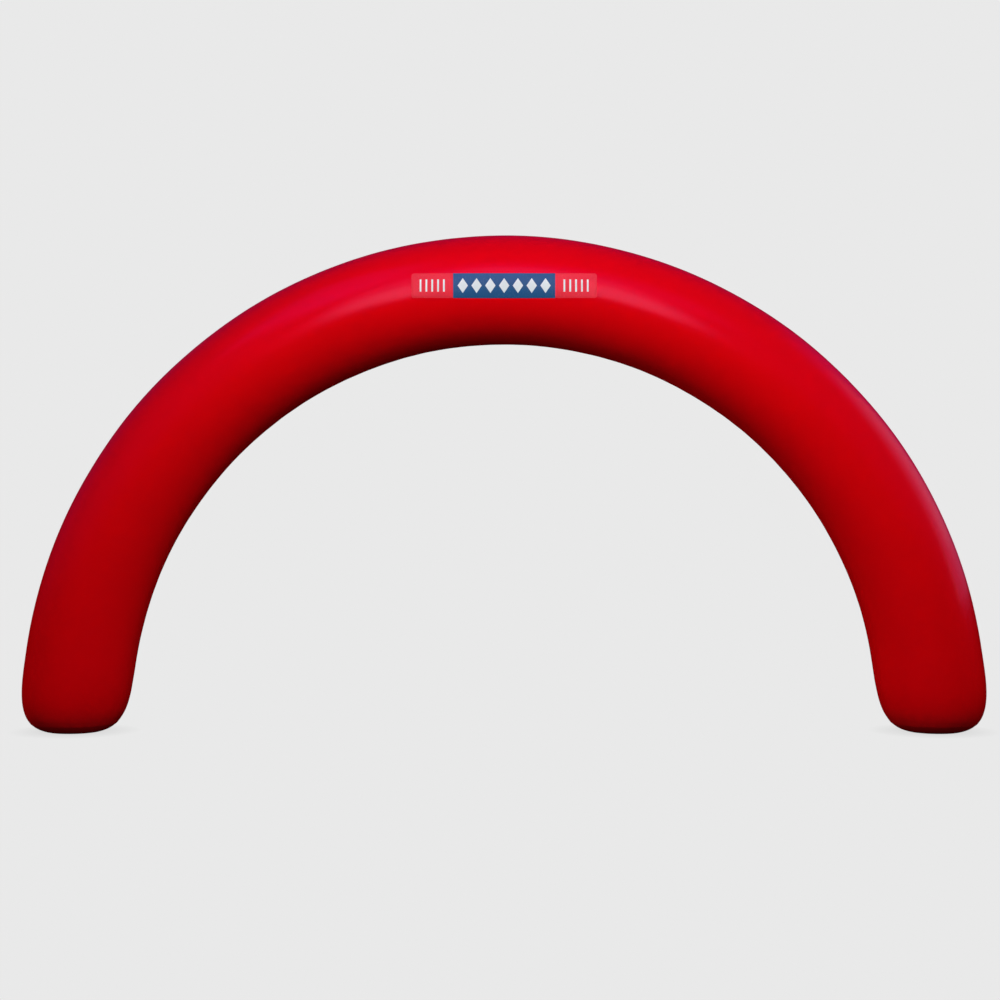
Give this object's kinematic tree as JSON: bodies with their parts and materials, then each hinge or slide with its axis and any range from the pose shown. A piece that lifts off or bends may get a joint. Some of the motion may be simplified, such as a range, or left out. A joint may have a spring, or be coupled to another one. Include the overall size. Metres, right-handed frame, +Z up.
{
  "type": "inflatable arch",
  "caption": "Free-standing inflatable arch: an air-filled cloth tube bent into a half ring on rounded feet, with a thin printed panel across the front of its crown.",
  "frame": {"origin": "on the floor, midway between the two feet", "axes": "+X across the arch's span, +Y from front to back, +Z up; the printed panel faces -Y"},
  "size_m": [6.0948, 0.6886, 3.138],
  "materials": {
    "red_coated_cloth": "bright red coated cloth, taut, smooth and glossy with a soft sheen",
    "printed_coated_cloth": "coated cloth printed in blue, pale red and white, smooth, half gloss"
  },
  "bodies": {
    "root": {"arch_tube": "red_coated_cloth", "print_panel": "printed_coated_cloth"}
  },
  "joints": []
}
